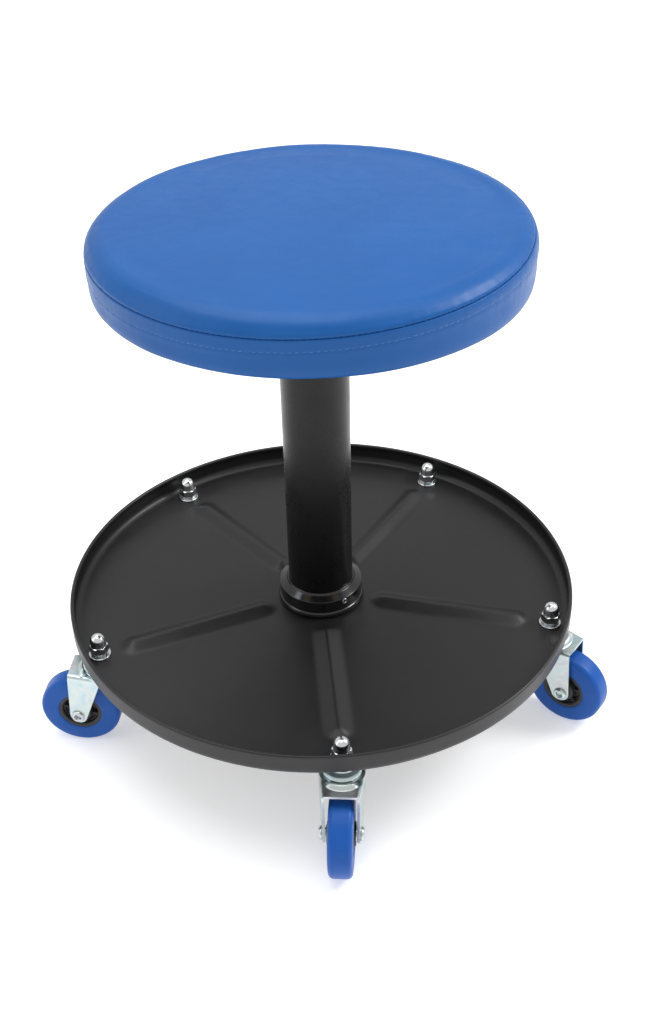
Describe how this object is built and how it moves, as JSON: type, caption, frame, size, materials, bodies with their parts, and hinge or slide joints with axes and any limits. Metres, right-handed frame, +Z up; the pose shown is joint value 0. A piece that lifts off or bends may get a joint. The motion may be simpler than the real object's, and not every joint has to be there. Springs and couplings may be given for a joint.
{
  "type": "adjustable swivel stool",
  "caption": "Round padded work stool on a gas-lift swivel column, with a dished tool tray below that rolls on swivel casters.",
  "frame": {"origin": "on the floor under the column's axis", "axes": "+Z up; -Y is the front, towards the first caster; +X is the sitter's left when the sitter faces -Y"},
  "size_m": [0.4474, 0.438, 0.41],
  "materials": {
    "black_enamel": "satin black powder coat",
    "zinc_plate": "bright zinc plating with a faint blue tint",
    "bright_steel": "bright machined steel",
    "nickel_plate": "polished nickel plate",
    "hard_chrome": "ground and hard-chromed",
    "black_plastic": "moulded black nylon",
    "black_rubber": "moulded black rubber",
    "plywood": "raw birch plywood",
    "foam": "open-cell cushion foam",
    "blue_vinyl": "blue upholstery vinyl with a fine grain and a satin sheen",
    "blue_tread": "moulded blue tread"
  },
  "bodies": {
    "base": {"tray": "black_enamel", "tray_rim": "black_enamel", "column_socket": "black_enamel", "socket_nut": "zinc_plate", "socket_screw": "bright_steel", "column_tube": "black_enamel", "guide_bush": "black_plastic", "thrust_washers": "bright_steel", "thrust_balls": "bright_steel", "caster_stems": "zinc_plate", "race_cups": "zinc_plate", "race_balls": "bright_steel", "lock_nuts": "zinc_plate", "flat_washers": "bright_steel", "spring_washers": "zinc_plate", "cap_nuts": "nickel_plate"},
    "rod": {"piston_rod": "hard_chrome", "piston": "bright_steel", "bump_stop": "black_rubber", "rod_clip": "bright_steel"},
    "seat": {"pressure_cylinder": "black_enamel", "rod_gland": "black_rubber", "seat_plate": "black_enamel", "lever_pin": "zinc_plate", "plate_screws": "zinc_plate", "tee_nuts": "zinc_plate", "seat_board": "plywood", "seat_foam": "foam", "seat_cover": "blue_vinyl", "staples": "bright_steel"},
    "lever": {"lift_lever": "black_enamel", "lever_grip": "black_plastic"},
    "pin": {"release_pin": "bright_steel"},
    "fork_1": {"caster_1_fork": "zinc_plate", "caster_1_axle": "zinc_plate", "caster_1_sleeve": "bright_steel"},
    "wheel_1": {"caster_1_hub": "black_plastic", "caster_1_tyre": "blue_tread"},
    "fork_2": {"caster_2_fork": "zinc_plate", "caster_2_axle": "zinc_plate", "caster_2_sleeve": "bright_steel"},
    "wheel_2": {"caster_2_hub": "black_plastic", "caster_2_tyre": "blue_tread"},
    "fork_3": {"caster_3_fork": "zinc_plate", "caster_3_axle": "zinc_plate", "caster_3_sleeve": "bright_steel"},
    "wheel_3": {"caster_3_hub": "black_plastic", "caster_3_tyre": "blue_tread"},
    "fork_4": {"caster_4_fork": "zinc_plate", "caster_4_axle": "zinc_plate", "caster_4_sleeve": "bright_steel"},
    "wheel_4": {"caster_4_hub": "black_plastic", "caster_4_tyre": "blue_tread"},
    "fork_5": {"caster_5_fork": "zinc_plate", "caster_5_axle": "zinc_plate", "caster_5_sleeve": "bright_steel"},
    "wheel_5": {"caster_5_hub": "black_plastic", "caster_5_tyre": "blue_tread"}
  },
  "joints": [
    {"name": "seat_swivel", "type": "hinge", "parent": "base", "child": "rod", "pos_m": [0, 0, 0.1], "axis": [0, 0, 1], "continuous": true},
    {"name": "seat_lift", "type": "slide", "parent": "rod", "child": "seat", "axis": [0, 0, 1], "range_m": [0, 0.12]},
    {"name": "lever_tip", "type": "hinge", "parent": "seat", "child": "lever", "pos_m": [0.02067, 0.00752, 0.3565], "axis": [0.342, -0.9397, 0], "range_deg": [0, 6], "stiffness_Nm_per_rad": 1},
    {"name": "pin_press", "type": "slide", "parent": "seat", "child": "pin", "axis": [0, 0, -1], "range_m": [0, 0.0024]},
    {"name": "caster_1_swivel", "type": "hinge", "parent": "base", "child": "fork_1", "pos_m": [0, -0.1845, 0.068], "axis": [0, 0, 1], "continuous": true},
    {"name": "caster_1_roll", "type": "hinge", "parent": "fork_1", "child": "wheel_1", "pos_m": [-0.00287, -0.2049, 0.0315], "axis": [0.9903, -0.1392, 0], "continuous": true},
    {"name": "caster_2_swivel", "type": "hinge", "parent": "base", "child": "fork_2", "pos_m": [0.17547, -0.05701, 0.068], "axis": [0, 0, 1], "continuous": true},
    {"name": "caster_2_roll", "type": "hinge", "parent": "fork_2", "child": "wheel_2", "pos_m": [0.19125, -0.07026, 0.0315], "axis": [0.6428, 0.766, 0], "continuous": true},
    {"name": "caster_3_swivel", "type": "hinge", "parent": "base", "child": "fork_3", "pos_m": [0.10845, 0.14926, 0.068], "axis": [0, 0, 1], "continuous": true},
    {"name": "caster_3_roll", "type": "hinge", "parent": "fork_3", "child": "wheel_3", "pos_m": [0.11378, 0.16916, 0.0315], "axis": [-0.9659, 0.2588, 0], "continuous": true},
    {"name": "caster_4_swivel", "type": "hinge", "parent": "base", "child": "fork_4", "pos_m": [-0.10845, 0.14926, 0.068], "axis": [0, 0, 1], "continuous": true},
    {"name": "caster_4_roll", "type": "hinge", "parent": "fork_4", "child": "wheel_4", "pos_m": [-0.12629, 0.15956, 0.0315], "axis": [-0.5, -0.866, 0], "continuous": true},
    {"name": "caster_5_swivel", "type": "hinge", "parent": "base", "child": "fork_5", "pos_m": [-0.17547, -0.05701, 0.068], "axis": [0, 0, 1], "continuous": true},
    {"name": "caster_5_roll", "type": "hinge", "parent": "fork_5", "child": "wheel_5", "pos_m": [-0.19576, -0.05344, 0.0315], "axis": [-0.1736, -0.9848, 0], "continuous": true}
  ],
  "couplings": [
    {"joint": "pin_press", "follows": "lever_tip", "m_per_rad": 0.022}
  ]
}
